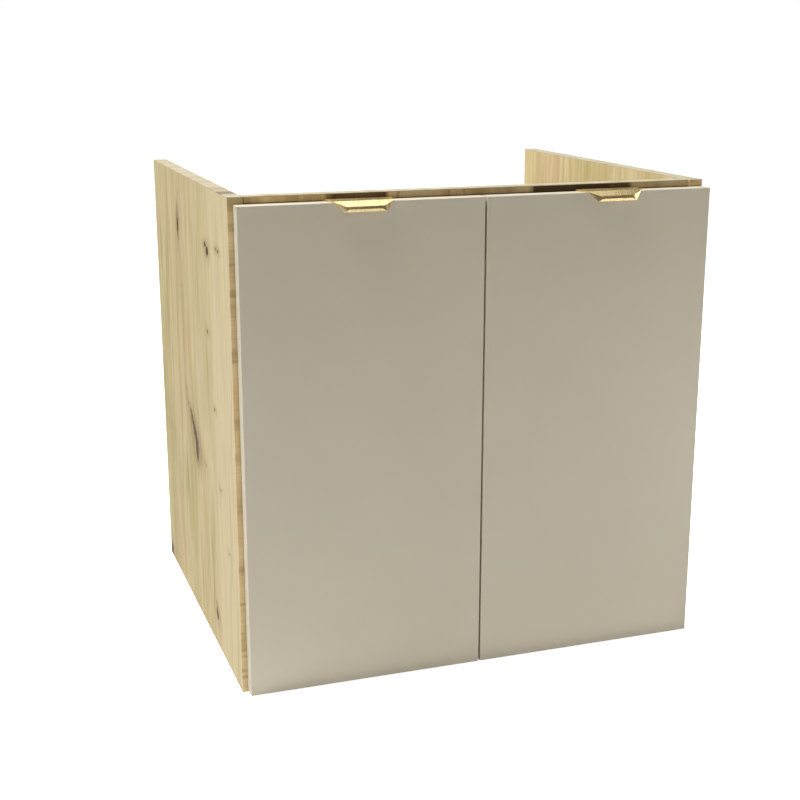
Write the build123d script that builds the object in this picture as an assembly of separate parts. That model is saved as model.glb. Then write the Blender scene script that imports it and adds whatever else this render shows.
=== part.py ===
"""Sink base cabinet with two hinged slab doors and edge pulls, in millimetres.

Frame: X runs to the right as someone in front of the doors sees it, +Y to the back, +Z up.
The origin is in the middle of the side panels' footprint, on the floor.
"""
from build123d import *
import math
import os

# ---------------------------------------------------------------- carcass
cabinet_width = 600.0
cabinet_height = 600.0
cabinet_depth = 497.0
board = 18.0                    # thickness of every carcass board
band = 1.0                      # thickness of the edge bands
band_round = 0.5                # their outer edges are eased by this radius
inner_setback = 2.0             # floor and front rail stand behind the sides' front edges
front_rail_height = 80.0
rear_rail_height = 100.0
rear_rail_drop = 100.0          # the upper rear rail hangs this far below the top
wall_hole_radius = 3.0
wall_hole_spacing = 400.0

# ---------------------------------------------------------------- panel connectors
bolt_from_edge = 60.0           # connecting bolts in the floor, from its front and back edges
dowel_from_bolt = 32.0
rail_joint_offset = 16.0        # bolt and dowel above and below a rail's middle
bolt_thread_radius = 2.5
bolt_thread_length = 11.0
bolt_collar_length = 1.2
bolt_shank_radius = 2.6
bolt_neck_radius = 1.7
bolt_head_radius = 2.8
bolt_head_length = 3.0
bolt_hole_radius = 3.6
cam_distance = 24.0             # cam centre from the end of its board
cam_radius = 7.5
cam_height = 12.4
cam_room = 0.4                  # play between a cam's hollow and the bolt in it
cam_cross_reach = 3.2
cam_cross_half_width = 0.6
cam_cross_depth = 1.8
dowel_radius = 4.0
dowel_in_side = 10.0
dowel_in_board = 22.0
dowel_chamfer = 0.8
hole_clearance = 0.08           # on the radius
end_clearance = 0.6
cut_past = 1.0                  # cutters run this far past the faces that they open

# ---------------------------------------------------------------- doors
door_thickness = 18.0
door_standoff = 2.0             # gap between the doors' backs and the sides' front edges
door_top_gap = 8.4
door_bottom_gap = 3.4
door_left_inset = 6.4           # left door's outer edge in from the cabinet's left face
door_right_inset = 0.5
door_meeting_x = 2.2            # the doors meet a little right of the middle
door_meeting_gap = 2.5
bumper_radius = 4.0
bumper_from_edge = 12.0
bumper_gap = 0.3

# ---------------------------------------------------------------- edge pulls
pull_left_shift = -2.3          # each pull's middle, to the right of its door's middle
pull_right_shift = 15.2
pull_plate = 2.0                # sheet thickness, the same all over
pull_back_width = 82.0
pull_bend_width = 70.0          # the plate draws in towards its front bend
pull_bend_reach = 3.8           # front bend ahead of the door's face
pull_slope_reach = 9.4          # where the sloping front starts to curve down
pull_slope_drop = 2.8
pull_nose_reach = 12.5          # crease along the front, the part furthest from the door
pull_nose_drop = 6.7
pull_nose_width = 38.2
pull_foot_reach = 11.3          # lip's lower edge
pull_foot_drop = 9.9            # below the door's top edge
pull_foot_width = 51.2
pull_corner_reach = 4.8         # where each folded corner starts on the slope
pull_corner_rise = 1.15
pull_flange = 1.5               # strap down the door's back
pull_flange_height = 15.0
pull_flange_inset = 9.5         # strap's ends in from the plate's back corners
pull_screw_spacing = 32.0
pull_screw_drop = 9.0
pull_screw_radius = 1.5
pull_screw_head_radius = 2.8
pull_screw_length = 13.0
countersink_gap = 0.1

# ---------------------------------------------------------------- concealed hinges
hinge_below_rail = 28.4         # upper hinge's middle below the front rail
hinge_above_floor = 85.4        # lower hinge's middle above the floor panel
cup_from_side_left = 8.9        # cup's middle from the side panel's inner face
cup_from_side_right = 6.0
cup_radius = 17.5
cup_depth = 13.0
cup_wall = 0.8
cup_flange = 1.2
cup_flange_radius = 18.6
cup_wing_span = 58.0
cup_wing_width = 13.0
cup_wing_corner = 5.0
cup_screw_offset = 9.5
cup_screw_spacing = 45.0
cup_notch_width = 17.0
cup_notch_from_middle = 10.0
ear_thickness = 1.2
ear_position = 7.0              # ears inside the cup, from the hinge's mid-plane
ear_radius = 2.7
cup_pin_overhang = 0.2          # the outer link's short pins stand in past its cheeks

# Pivots, from the cup's centre (towards the door's free edge) and the door's back (to the rear).
pivot_outer_arm = (14.0, 9.6)
pivot_inner_arm = (10.0, 1.5)
pivot_outer_cup = (-11.0, -3.7)
pivot_inner_cup = (-11.3, -8.8)
pivot_pin_radius = 1.25
outer_link_bends = ((-6.0, -6.0), (-1.2, -3.9), (5.0, 2.2))
inner_link_bends = ((-6.0, -10.3), (-1.5, -10.5), (2.4, -7.6), (6.4, -2.6))
outer_link_near = 4.6           # the outer link's cheeks, from the hinge's mid-plane
outer_link_cheek = 1.6
outer_link_half = 1.5
outer_link_eye = 2.4
inner_link_half = 0.8
inner_link_eye = 2.1
inner_link_width = 7.6
inner_link_slack = 2.1          # free play round the inner link's pin in the arm
inner_link_rim = 0.9
fork_inside = 1.8
fork_margin = 1.8               # the fork's slot runs this far past its eyes
tongue_half = 1.5
tongue_radius = 2.0
arm_near = 6.8                  # the arm's cheeks, from the hinge's mid-plane
arm_sheet = 1.2
arm_nose_radius = 3.4
arm_web_clearance = 4.0         # arm's web inboard of its outer pivot
arm_rear_height = 14.0
arm_shoulder_ahead = 15.0       # these four are measured from the plate's screw line
arm_end_behind = 23.0
adjust_ahead = 6.0
adjust_behind = 13.0
plate_screw_setback = 37.0      # plate's screw line behind the side's front edge
plate_screw_spacing = 32.0
plate_thickness = 2.5
plate_wing = 12.0
plate_margin = 2.0              # the plate is wider than the arm by this much on each side
plate_corner = 2.0
plate_core_height = 9.0
plate_core_half = 5.6
plate_core_ahead = 11.0
plate_core_behind = 21.0
plate_gap = 0.1
hinge_screw_radius = 1.75
hinge_screw_length = 13.0       # below the head's seat
hinge_screw_head_radius = 3.1
plate_screw_head_height = 1.8
cup_screw_head_height = 1.2
adjust_radius = 2.0
adjust_head_radius = 3.4
adjust_head_height = 1.6
adjust_tip_gap = 1.0
recess_reach = 1.8              # cross recess of the small screws
recess_half_width = 0.4
recess_depth = 0.9

# ---------------------------------------------------------------- places worked out from them
front_edge = -cabinet_depth / 2
back_edge = cabinet_depth / 2
outer_face = cabinet_width / 2
inner_face = outer_face - board
inner_front = front_edge + inner_setback
rail_back = inner_front + board
rail_foot = cabinet_height - front_rail_height
rear_rail_front = back_edge - board
upper_rail_top = cabinet_height - rear_rail_drop
lower_rail_top = board + rear_rail_height

door_back = front_edge - door_standoff
door_front = door_back - door_thickness
door_top = cabinet_height - door_top_gap
door_bottom = door_bottom_gap
door_spans = {
    "left": (-outer_face + door_left_inset, door_meeting_x - door_meeting_gap / 2),
    "right": (door_meeting_x + door_meeting_gap / 2, outer_face - door_right_inset),
}
pull_centres = {
    "left": sum(door_spans["left"]) / 2 + pull_left_shift,
    "right": sum(door_spans["right"]) / 2 + pull_right_shift,
}
cup_offsets = {"left": cup_from_side_left, "right": cup_from_side_right}
hinge_heights = {"upper": rail_foot - hinge_below_rail, "lower": board + hinge_above_floor}
sides = ("left", "right")

plate_line = door_standoff + plate_screw_setback
adjust_lines = (plate_line - adjust_ahead, plate_line + adjust_behind)
plate_screw_offsets = (-plate_screw_spacing / 2, plate_screw_spacing / 2)
cup_screw_offsets = (-cup_screw_spacing / 2, cup_screw_spacing / 2)


def side_sign(side):
    return -1 if side == "left" else 1


# ---------------------------------------------------------------- plain shapes
def block(x_span, y_span, z_span):
    """A box between two values on each axis."""
    low = [min(span) for span in (x_span, y_span, z_span)]
    high = [max(span) for span in (x_span, y_span, z_span)]
    size = [b - a for a, b in zip(low, high)]
    middle = [(a + b) / 2 for a, b in zip(low, high)]
    return Pos(*middle) * Box(*size)


def rod(start, end, radius):
    """A round bar from one point to another."""
    start, end = Vector(*start), Vector(*end)
    axis = end - start
    return extrude(Plane(origin=start, z_dir=axis) * Circle(radius), amount=axis.length)


def cone_rod(start, end, start_radius, end_radius):
    """A cone frustum from one point to another."""
    start, end = Vector(*start), Vector(*end)
    axis = end - start
    middle = Plane(origin=start + axis / 2, z_dir=axis)
    return middle * Cone(start_radius, end_radius, axis.length)


def strap(points, half_width):
    """A flat bar's outline along a bent line, with round ends and corners."""
    outline = Sketch()
    for (x0, y0), (x1, y1) in zip(points, points[1:]):
        run = math.hypot(x1 - x0, y1 - y0)
        turn = math.degrees(math.atan2(y1 - y0, x1 - x0))
        middle = Pos((x0 + x1) / 2, (y0 + y1) / 2)
        outline += middle * Rot(0, 0, turn) * SlotCenterToCenter(run, 2 * half_width)
    return outline


def slab(sketch, low, high):
    """A sketch in the plan plane, raised from one height to another."""
    return extrude(Pos(0, 0, low) * sketch, amount=high - low)


def both_faces(sketch, near, far):
    """Two like plates, one each side of the mid-plane."""
    return slab(sketch, near, far) + slab(sketch, -far, -near)


def edge_band(x_span, y_span, z_span, along, outward, last):
    """A thin strip whose two long outer edges are eased."""
    strip = block(x_span, y_span, z_span)
    outer_edges = strip.edges().filter_by(along).group_by(outward)[-1 if last else 0]
    return fillet(outer_edges, band_round)


def cross_cutter(top, outwards, reach, half_width, depth):
    """A cross-shaped cutter, centred on a head's top face."""
    cross = Rectangle(2 * reach, 2 * half_width) + Rectangle(2 * half_width, 2 * reach)
    return extrude(Plane(origin=top, z_dir=outwards) * cross, amount=depth, both=True)


def pan_head_screw(seat, outwards, length, shank_radius, head_radius, head_height):
    """A screw whose head sits on a point, with a cross recess in its top."""
    seat, outwards = Vector(*seat), Vector(*outwards)
    top = seat + outwards * head_height
    screw = rod(seat - outwards * length, seat, shank_radius) + rod(seat, top, head_radius)
    return screw - cross_cutter(top, outwards, recess_reach, recess_half_width, recess_depth)


# ---------------------------------------------------------------- where the connectors go
class Joint:
    """One end of a board against a side panel: its bolts, its dowels and the cams' face."""

    def __init__(self, bolts, dowels, cam_direction, cam_face):
        self.bolts = bolts
        self.dowels = dowels
        self.cam_direction = Vector(*cam_direction)
        self.cam_face = cam_face

    def cam_mouth(self, x, y, z):
        """Middle of a cam's cap, on the face that the cams are let into."""
        if self.cam_direction.Y:
            return Vector(x, self.cam_face, z)
        return Vector(x, y, self.cam_face)


def floor_joint():
    middle = board / 2
    ys = (front_edge + bolt_from_edge, back_edge - bolt_from_edge)
    bolts = [(y, middle) for y in ys]
    dowels = [(ys[0] + dowel_from_bolt, middle), (ys[1] - dowel_from_bolt, middle)]
    return Joint(bolts, dowels, (0, 0, -1), 0.0)


def rail_joint(y_middle, z_middle, cam_face):
    bolts = [(y_middle, z_middle + rail_joint_offset)]
    dowels = [(y_middle, z_middle - rail_joint_offset)]
    return Joint(bolts, dowels, (0, 1, 0), cam_face)


board_joints = {
    "floor_panel": floor_joint(),
    "front_rail": rail_joint(inner_front + board / 2, (rail_foot + cabinet_height) / 2, rail_back),
    "rear_rail_upper": rail_joint(back_edge - board / 2, upper_rail_top - rear_rail_height / 2, back_edge),
    "rear_rail_lower": rail_joint(back_edge - board / 2, lower_rail_top - rear_rail_height / 2, back_edge),
}


def hinge_screw_points():
    """Plate screws on a side panel's inner face, as (y, z)."""
    y = front_edge + plate_screw_setback
    return [(y, z + dz) for z in hinge_heights.values() for dz in plate_screw_offsets]


# ---------------------------------------------------------------- carcass boards
def side_panel(side):
    """A side from floor to top, drilled on its inner face for connectors and hinges."""
    sign = side_sign(side)
    surface = sign * inner_face
    panel = block((surface, sign * outer_face), (front_edge + band, back_edge), (0, cabinet_height - band))

    def bore(y, z, depth, radius):
        return rod((surface, y, z), (surface + sign * (depth + end_clearance), y, z), radius)

    for joint in board_joints.values():
        for y, z in joint.bolts:
            panel -= bore(y, z, bolt_thread_length, bolt_thread_radius)
        for y, z in joint.dowels:
            panel -= bore(y, z, dowel_in_side, dowel_radius)
    for y, z in hinge_screw_points():
        panel -= bore(y, z, hinge_screw_length - plate_thickness, hinge_screw_radius + hole_clearance)
    return panel


def side_front_band(side):
    sign = side_sign(side)
    x_span = (sign * inner_face, sign * outer_face)
    y_span = (front_edge, front_edge + band)
    return edge_band(x_span, y_span, (0, cabinet_height - band), Axis.Z, Axis.Y, False)


def side_top_band(side):
    sign = side_sign(side)
    x_span = (sign * inner_face, sign * outer_face)
    z_span = (cabinet_height - band, cabinet_height)
    return edge_band(x_span, (front_edge, back_edge), z_span, Axis.Y, Axis.Z, True)


def cam_body(joint, x, y, z, radius, height):
    """The cylinder of a cam, or of its bore, sunk in a board from the joint's cam face."""
    mouth = joint.cam_mouth(x, y, z)
    return rod(mouth, mouth - joint.cam_direction * height, radius)


def drilled_board(name, y_span, z_span):
    """A board between the sides, bored at both ends for its bolts, cams and dowels."""
    piece = block((-inner_face, inner_face), y_span, z_span)
    joint = board_joints[name]
    for side in sides:
        sign = side_sign(side)
        end = sign * inner_face
        cam_x = end - sign * cam_distance
        for y, z in joint.bolts:
            piece -= rod((end, y, z), (cam_x, y, z), bolt_hole_radius)
            piece -= cam_body(joint, cam_x, y, z, cam_radius, cam_height + end_clearance)
        for y, z in joint.dowels:
            tip = end - sign * (dowel_in_board + end_clearance)
            piece -= rod((end, y, z), (tip, y, z), dowel_radius)
    return piece


def floor_panel():
    return drilled_board("floor_panel", (inner_front + band, back_edge), (0, board))


def front_rail():
    return drilled_board("front_rail", (inner_front, rail_back), (rail_foot, cabinet_height - band))


def rear_rail_upper():
    """The rail that is screwed to the wall."""
    foot = upper_rail_top - rear_rail_height
    rail = drilled_board("rear_rail_upper", (rear_rail_front, back_edge), (foot, upper_rail_top))
    z = (foot + upper_rail_top) / 2
    for x in (-wall_hole_spacing / 2, wall_hole_spacing / 2):
        rail -= rod((x, rear_rail_front - cut_past, z), (x, back_edge + cut_past, z), wall_hole_radius)
    return rail


def rear_rail_lower():
    return drilled_board("rear_rail_lower", (rear_rail_front, back_edge), (board, lower_rail_top))


def floor_front_band():
    y_span = (inner_front, inner_front + band)
    return edge_band((-inner_face, inner_face), y_span, (0, board), Axis.X, Axis.Y, False)


def front_rail_top_band():
    z_span = (cabinet_height - band, cabinet_height)
    return edge_band((-inner_face, inner_face), (inner_front, rail_back), z_span, Axis.X, Axis.Z, True)


# ---------------------------------------------------------------- connectors
def connecting_bolt(end, sign, y, z):
    """Threaded into the side, with a neck and a head that the cam draws in."""
    neck_start = cam_distance - cam_radius - end_clearance
    head_start = cam_distance - bolt_head_length / 2
    steps = [
        (-bolt_thread_length, 0, bolt_thread_radius - hole_clearance),
        (0, bolt_collar_length, bolt_hole_radius - 2 * hole_clearance),
        (bolt_collar_length, neck_start, bolt_shank_radius),
        (neck_start, head_start, bolt_neck_radius),
        (head_start, head_start + bolt_head_length, bolt_head_radius),
    ]
    bolt = Part()
    for near, far, radius in steps:
        bolt += rod((end - sign * near, y, z), (end - sign * far, y, z), radius)
    return bolt


def cam_lock(joint, end, sign, y, z):
    """A cam disc, hollow for the bolt's head, with a cross slot in its cap."""
    x = end - sign * cam_distance
    cam = cam_body(joint, x, y, z, cam_radius - hole_clearance, cam_height)
    face = joint.cam_mouth(x, y, z)
    plane = Plane(origin=face, x_dir=(sign, 0, 0), z_dir=-joint.cam_direction)
    head_room = bolt_head_radius + cam_room
    neck_room = bolt_neck_radius + cam_room
    open_end = cam_height + cut_past
    hollow = block((-head_room, head_room), (-head_room, head_room), (board / 2 - head_room, open_end))
    slot = block((0, cam_radius + cut_past), (-neck_room, neck_room), (board / 2 - neck_room, open_end))
    cross = cross_cutter(face, joint.cam_direction, cam_cross_reach, cam_cross_half_width, cam_cross_depth)
    return cam - plane * hollow - plane * slot - cross


def each_bolt():
    for joint in board_joints.values():
        for side in sides:
            for y, z in joint.bolts:
                yield joint, side_sign(side) * inner_face, side_sign(side), y, z


def connecting_bolts():
    return [connecting_bolt(end, sign, y, z) for joint, end, sign, y, z in each_bolt()]


def cam_locks():
    return [cam_lock(*place) for place in each_bolt()]


def wood_dowels():
    """Pegs that keep each joint from turning, half in the side and half in the board."""
    pegs = []
    for joint in board_joints.values():
        for sign in map(side_sign, sides):
            for y, z in joint.dowels:
                start = (sign * (inner_face + dowel_in_side), y, z)
                tip = (sign * (inner_face - dowel_in_board), y, z)
                peg = rod(start, tip, dowel_radius - hole_clearance)
                pegs.append(chamfer(peg.edges(), dowel_chamfer))
    return pegs


# ---------------------------------------------------------------- doors
def pull_screw_xs(side):
    middle = pull_centres[side]
    return (middle - pull_screw_spacing / 2, middle + pull_screw_spacing / 2)


def door_panel(side):
    """The slab inside its edge bands, bored for hinge cups and screws."""
    x0, x1 = door_spans[side]
    panel = block((x0 + band, x1 - band), (door_front, door_back), (door_bottom + band, door_top - band))
    sign = side_sign(side)
    cup_x = sign * (inner_face - cup_offsets[side])
    screw_x = cup_x - sign * cup_screw_offset

    def bore(x, z, depth, radius):
        return rod((x, door_back, z), (x, door_back - depth - end_clearance, z), radius)

    for z in hinge_heights.values():
        panel -= bore(cup_x, z, cup_depth, cup_radius)
        for dz in cup_screw_offsets:
            depth = hinge_screw_length - cup_flange
            panel -= bore(screw_x, z + dz, depth, hinge_screw_radius + hole_clearance)
    for x in pull_screw_xs(side):
        panel -= bore(x, door_top - pull_screw_drop, pull_screw_length, pull_screw_radius + hole_clearance)
    return panel


def door_edge_bands(side):
    """Four strips round the slab: top and bottom run through, the upright ones stand between."""
    x0, x1 = door_spans[side]
    depth = (door_front, door_back)
    upright = (door_bottom + band, door_top - band)
    return [
        edge_band((x0, x1), depth, (door_top - band, door_top), Axis.X, Axis.Z, True),
        edge_band((x0, x1), depth, (door_bottom, door_bottom + band), Axis.X, Axis.Z, False),
        edge_band((x0, x0 + band), depth, upright, Axis.Z, Axis.X, False),
        edge_band((x1 - band, x1), depth, upright, Axis.Z, Axis.X, True),
    ]


def door_bumpers(side):
    """Soft pads on the door's back that meet the front rail and the floor's front edge."""
    free_edge = door_spans[side][1 if side == "left" else 0]
    x = free_edge + side_sign(side) * bumper_from_edge
    thickness = door_standoff + inner_setback - bumper_gap
    heights = ((rail_foot + door_top) / 2, (door_bottom + board) / 2)
    return [rod((x, door_back, z), (x, door_back + thickness, z), bumper_radius) for z in heights]


# ---------------------------------------------------------------- edge pulls
# Section points are (distance ahead of the door's face, height above the door's top edge).
pull_back = -(door_thickness + pull_flange)
pull_bend = (pull_bend_reach, pull_plate)
pull_slope_foot = (pull_slope_reach, -pull_slope_drop)
pull_nose = (pull_nose_reach, -pull_nose_drop)
pull_foot = (pull_foot_reach, -pull_foot_drop)


def pull_front_line():
    """Sloping front from the plate's bend to the nose, then back under to the foot."""
    slope = (pull_slope_reach - pull_bend_reach, -pull_slope_drop - pull_plate)
    line = Line(pull_bend, pull_slope_foot)
    line += TangentArc(pull_slope_foot, pull_nose, tangent=slope)
    return line + Line(pull_nose, pull_foot)


def pull_section():
    """Whole section over the door's top edge and ahead of its face, filled down to the foot."""
    outline = pull_front_line() + Polyline(
        pull_foot, (0, -pull_foot_drop), (0, 0), (pull_back, 0), (pull_back, pull_plate), pull_bend
    )
    return make_face(outline.edges())


def pull_hollow_section():
    """Finger space under the sheet: the front's outline moved in by the sheet's thickness."""
    below = tuple(2 * foot - nose for foot, nose in zip(pull_foot, pull_nose))
    far = -2 * door_thickness
    outline = pull_front_line() + Polyline(pull_foot, below, (far, below[1]), (far, pull_plate), pull_bend)
    return offset(make_face(outline.edges()), amount=-pull_plate)


def pull_point(sign, width, reach, height):
    """A point of the pull's own frame, with the door's front and top edge as its planes."""
    return Vector(sign * width / 2, door_front - reach, door_top + height)


def pull_bar(section):
    """A section swept across the door's top edge, in the pull's own frame."""
    plane = Plane(origin=(pull_back_width, door_front, door_top), x_dir=(0, -1, 0), z_dir=(-1, 0, 0))
    return extrude(plane * section, amount=2 * pull_back_width)


def cut_off(solid, origin, outward):
    """The part of a solid behind a plane."""
    return split(solid, bisect_by=Plane(origin=origin, z_dir=outward), keep=Keep.BOTTOM)


def pull_corner(sign):
    """Top, outward direction and end direction of a folded front corner."""
    top = pull_point(sign, pull_bend_width, pull_corner_reach, pull_corner_rise)
    nose = pull_point(sign, pull_nose_width, pull_nose_reach, -pull_nose_drop)
    foot = pull_point(sign, pull_foot_width, pull_foot_reach, -pull_foot_drop)
    outward = (nose - top).cross(foot - top).normalized() * sign
    end = outward.cross(foot - top).normalized() * sign
    return top, outward, end


def pull_side_wedge(sign):
    """What is cut from the plate's end, so that it draws in towards the bend."""
    back = door_back + pull_flange
    front = door_front - pull_bend_reach
    wedge = Polyline(
        (sign * pull_back_width / 2, back),
        (sign * pull_bend_width / 2, front),
        (sign * pull_back_width, front),
        (sign * pull_back_width, back),
        close=True,
    )
    return slab(make_face(wedge.edges()), door_top - cut_past, door_top + pull_plate + cut_past)


def edge_pull(side):
    """Sheet over the door's top edge, sloping down in front to a creased nose, with a strap behind."""
    front = pull_bar(pull_section())
    front -= block(
        (-pull_back_width, pull_back_width),
        (door_front - pull_bend_reach, door_back + pull_flange),
        (door_top - pull_foot_drop, door_top + pull_plate),
    )
    hollow = pull_bar(pull_hollow_section())
    for sign in (-1, 1):
        top, outward, end = pull_corner(sign)
        front = cut_off(cut_off(front, top, outward), top, end)
        hollow = cut_off(hollow, top - outward * pull_plate, outward)
    body = front - hollow
    body += block(
        (-pull_back_width / 2, pull_back_width / 2),
        (door_front - pull_bend_reach, door_back + pull_flange),
        (door_top, door_top + pull_plate),
    )
    body = body - pull_side_wedge(-1) - pull_side_wedge(1)
    back = door_back + pull_flange
    half = pull_back_width / 2 - pull_flange_inset
    body += block((-half, half), (door_back, back), (door_top - pull_flange_height, door_top))
    z = door_top - pull_screw_drop
    for x in (-pull_screw_spacing / 2, pull_screw_spacing / 2):
        body -= rod((x, door_back, z), (x, back, z), pull_screw_radius + hole_clearance)
        head_radius = pull_screw_head_radius + 2 * countersink_gap
        body -= cone_rod((x, door_back, z), (x, back, z), pull_screw_radius, head_radius)
    return Pos(pull_centres[side], 0, 0) * body


def pull_screws(side):
    """Countersunk screws that hold the strap to the door's back."""
    screws = []
    z = door_top - pull_screw_drop
    neck = door_back + countersink_gap
    face = door_back + pull_flange - countersink_gap
    for x in pull_screw_xs(side):
        screw = rod((x, door_back - pull_screw_length, z), (x, neck, z), pull_screw_radius)
        screw += cone_rod((x, neck, z), (x, face, z), pull_screw_radius, pull_screw_head_radius)
        cross = cross_cutter((x, face, z), (0, 1, 0), recess_reach, recess_half_width, recess_depth)
        screws.append(screw - cross)
    return screws


# ---------------------------------------------------------------- concealed hinges
# Each hinge is drawn for the left side in plan: X from the side's inner face into the cabinet,
# Y from the door's back to the rear, Z from the hinge's mid-height.
def from_cup(point, side):
    return (point[0] + cup_offsets[side], point[1])


def pivot_pin(point, near, far):
    """A pin between two heights, on an upright axis."""
    return rod((*point, near), (*point, far), pivot_pin_radius)


def pin_hole(point, reach):
    return rod((*point, -reach), (*point, reach), pivot_pin_radius + hole_clearance)


def hinge_cup(side):
    """Cup with its flange, two wings for the screws, and the ears that carry the pins."""
    middle = cup_offsets[side]
    plan = Plane(origin=(middle, 0, 0), x_dir=(1, 0, 0), z_dir=(0, 1, 0))
    outer = cup_radius - 2 * hole_clearance
    inner = outer - cup_wall
    floor_y = -cup_depth + cup_wall
    above = cup_flange + cut_past
    shell = extrude(plan * Circle(outer), amount=-cup_depth)
    wings = plan * Pos(cup_screw_offset, 0) * RectangleRounded(cup_wing_width, cup_wing_span, cup_wing_corner)
    shell += extrude(plan * Circle(cup_flange_radius) + wings, amount=cup_flange)
    notch_x = (middle - cup_flange_radius - cut_past, middle - cup_notch_from_middle)
    shell -= block(notch_x, (0, above), (-cup_notch_width / 2, cup_notch_width / 2))
    floor_plane = Plane(origin=(middle, floor_y, 0), x_dir=(1, 0, 0), z_dir=(0, 1, 0))
    room = extrude(floor_plane * Circle(inner), amount=above - floor_y)
    outer_pin, inner_pin = from_cup(pivot_outer_cup, side), from_cup(pivot_inner_cup, side)
    ear_far = ear_position + ear_thickness
    ear = strap((outer_pin, inner_pin, (inner_pin[0], floor_y)), ear_radius)
    shell = shell - room + (both_faces(ear, ear_position, ear_far) & room)
    for pin in (outer_pin, inner_pin):
        shell -= pin_hole(pin, ear_far)
    x = middle + cup_screw_offset
    for z in cup_screw_offsets:
        shell -= rod((x, -cut_past, z), (x, above, z), hinge_screw_radius + hole_clearance)
    return shell


def cup_pins(side):
    """Two short pins for the outer link, and one long pin for the inner link."""
    outer_pin, inner_pin = from_cup(pivot_outer_cup, side), from_cup(pivot_inner_cup, side)
    far = ear_position + ear_thickness
    near = outer_link_near - cup_pin_overhang
    return [
        pivot_pin(outer_pin, near, far),
        pivot_pin(outer_pin, -far, -near),
        pivot_pin(inner_pin, -far, far),
    ]


def cup_screws(side):
    """Screws through the cup's wings into the door's back."""
    x = cup_offsets[side] + cup_screw_offset
    return [
        pan_head_screw(
            (x, cup_flange, z), (0, 1, 0), hinge_screw_length,
            hinge_screw_radius, hinge_screw_head_radius, cup_screw_head_height,
        )
        for z in cup_screw_offsets
    ]


def outer_link(side):
    """Two bent cheeks joined by a sleeve round the arm's pin."""
    arm_pin, cup_pin = from_cup(pivot_outer_arm, side), from_cup(pivot_outer_cup, side)
    route = [cup_pin] + [from_cup(p, side) for p in outer_link_bends] + [arm_pin]
    cheek = strap(route, outer_link_half)
    cheek += Pos(*cup_pin) * Circle(outer_link_eye) + Pos(*arm_pin) * Circle(outer_link_eye)
    far = outer_link_near + outer_link_cheek
    link = both_faces(cheek, outer_link_near, far) + slab(Pos(*arm_pin) * Circle(outer_link_eye), -far, far)
    return link - pin_hole(arm_pin, far) - pin_hole(cup_pin, far)


def inner_link(side):
    """A bent strap, rolled round the cup's pin and forked with wide eyes at the arm's pin."""
    arm_pin, cup_pin = from_cup(pivot_inner_arm, side), from_cup(pivot_inner_cup, side)
    route = [cup_pin] + [from_cup(p, side) for p in inner_link_bends] + [arm_pin]
    half = inner_link_width / 2
    eye = pivot_pin_radius + inner_link_slack
    ring = Pos(*arm_pin) * Circle(eye + inner_link_rim)
    plan = strap(route, inner_link_half) + Pos(*cup_pin) * Circle(inner_link_eye) + ring
    link = slab(plan, -half, half)
    link -= slab(Pos(*arm_pin) * Circle(eye), -half, half)
    fork_reach = eye + inner_link_rim + fork_margin
    link -= slab(Pos(*arm_pin) * Circle(fork_reach), -fork_inside, fork_inside)
    return link - pin_hole(cup_pin, half)


def arm_side_view(side):
    """Outline of the arm's cheeks: a nose round both pins, stepping down to the plate behind."""
    outer_pin, inner_pin = from_cup(pivot_outer_arm, side), from_cup(pivot_inner_arm, side)
    web_x = outer_pin[0] + arm_web_clearance
    foot = plate_thickness + plate_gap
    rear = plate_thickness + arm_rear_height
    shoulder = plate_line - arm_shoulder_ahead
    arm_end = plate_line + arm_end_behind
    outline = Polyline(
        inner_pin,
        (outer_pin[0], inner_pin[1]),
        (web_x, outer_pin[1] - arm_nose_radius),
        (web_x, shoulder - arm_nose_radius),
        (rear, shoulder + arm_nose_radius),
        (rear, arm_end),
        (foot, arm_end),
        (foot, shoulder),
        (inner_pin[0] - arm_nose_radius, outer_pin[1]),
        close=True,
    )
    return make_face(outline.edges()) + Pos(*inner_pin) * Circle(arm_nose_radius)


def arm_web_line(side):
    """Middle of the sheet that joins the arm's cheeks, from the nose to the rear end."""
    web_x = from_cup(pivot_outer_arm, side)[0] + arm_web_clearance - arm_sheet / 2
    rear = plate_thickness + arm_rear_height - arm_sheet / 2
    shoulder = plate_line - arm_shoulder_ahead
    return [
        (web_x, pivot_outer_arm[1] - arm_nose_radius),
        (web_x, shoulder - arm_nose_radius),
        (rear, shoulder + arm_nose_radius),
        (rear, plate_line + arm_end_behind - arm_sheet / 2),
    ]


def arm_tongue(side):
    """Lug from the web to the inner link's pin, between the fork's two eyes."""
    inner_pin = from_cup(pivot_inner_arm, side)
    web_x, web_front = arm_web_line(side)[0]
    outline = Polyline(
        inner_pin,
        (inner_pin[0], inner_pin[1] - tongue_radius),
        (web_x, web_front - tongue_radius),
        (web_x, pivot_outer_arm[1]),
        (web_x - arm_sheet, web_front),
        (inner_pin[0], inner_pin[1] + tongue_radius),
        close=True,
    )
    return make_face(outline.edges()) + Pos(*inner_pin) * Circle(tongue_radius)


def hinge_arm(side):
    """A channel clipped over the plate, with a raised nose that carries both link pins."""
    far = arm_near + arm_sheet
    arm = both_faces(arm_side_view(side), arm_near, far)
    arm += slab(strap(arm_web_line(side), arm_sheet / 2), -far, far)
    arm += slab(arm_tongue(side), -tongue_half, tongue_half)
    for pin in (from_cup(pivot_outer_arm, side), from_cup(pivot_inner_arm, side)):
        arm -= pin_hole(pin, far)
    over = plate_thickness + arm_rear_height + cut_past
    for y in adjust_lines:
        arm -= rod((plate_thickness, y, 0), (over, y, 0), adjust_radius + hole_clearance)
    return arm


def arm_pins(side):
    """A long pin for the outer link, and a short one in the tongue for the inner link."""
    far = arm_near + arm_sheet
    half = inner_link_width / 2
    outer_pin = pivot_pin(from_cup(pivot_outer_arm, side), -far, far)
    inner_pin = pivot_pin(from_cup(pivot_inner_arm, side), -half, half)
    return [outer_pin, inner_pin]


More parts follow.
